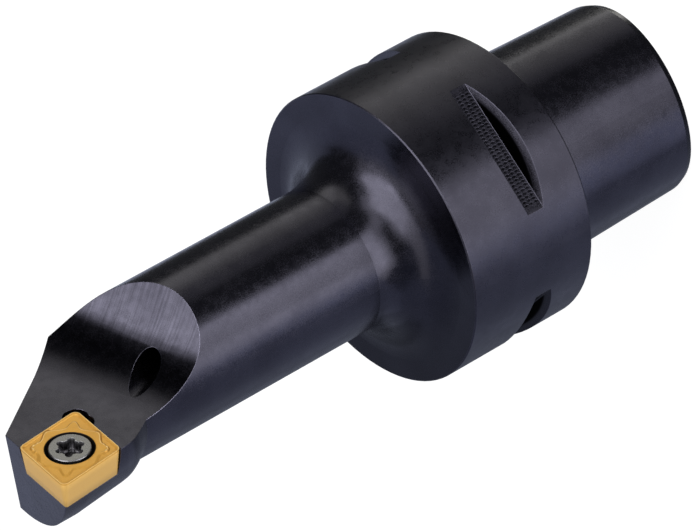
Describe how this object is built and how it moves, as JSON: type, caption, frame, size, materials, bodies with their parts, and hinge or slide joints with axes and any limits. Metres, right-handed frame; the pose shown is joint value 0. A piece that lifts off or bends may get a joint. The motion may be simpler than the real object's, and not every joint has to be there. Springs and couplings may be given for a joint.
{
  "type": "boring bar",
  "caption": "Round boring bar on a tapered three-lobed shank, with a slotted flange, a filleted neck and a wider head holding a screw-clamped rhombic insert.",
  "frame": {"origin": "centre of the flange's rear contact face, on the bar axis", "axes": "+Z along the bar axis towards the nose, +X towards the cutting corner, +Y the side the insert's rake face looks to"},
  "size_m": [0.04, 0.04, 0.1042],
  "materials": {
    "black_steel": "satin black oxide",
    "gold_coating": "satin golden coating on hard metal",
    "screw_steel": "satin grey steel"
  },
  "bodies": {
    "root": {"bar_body": "black_steel", "insert": "gold_coating", "insert_screw": "screw_steel"}
  },
  "joints": []
}
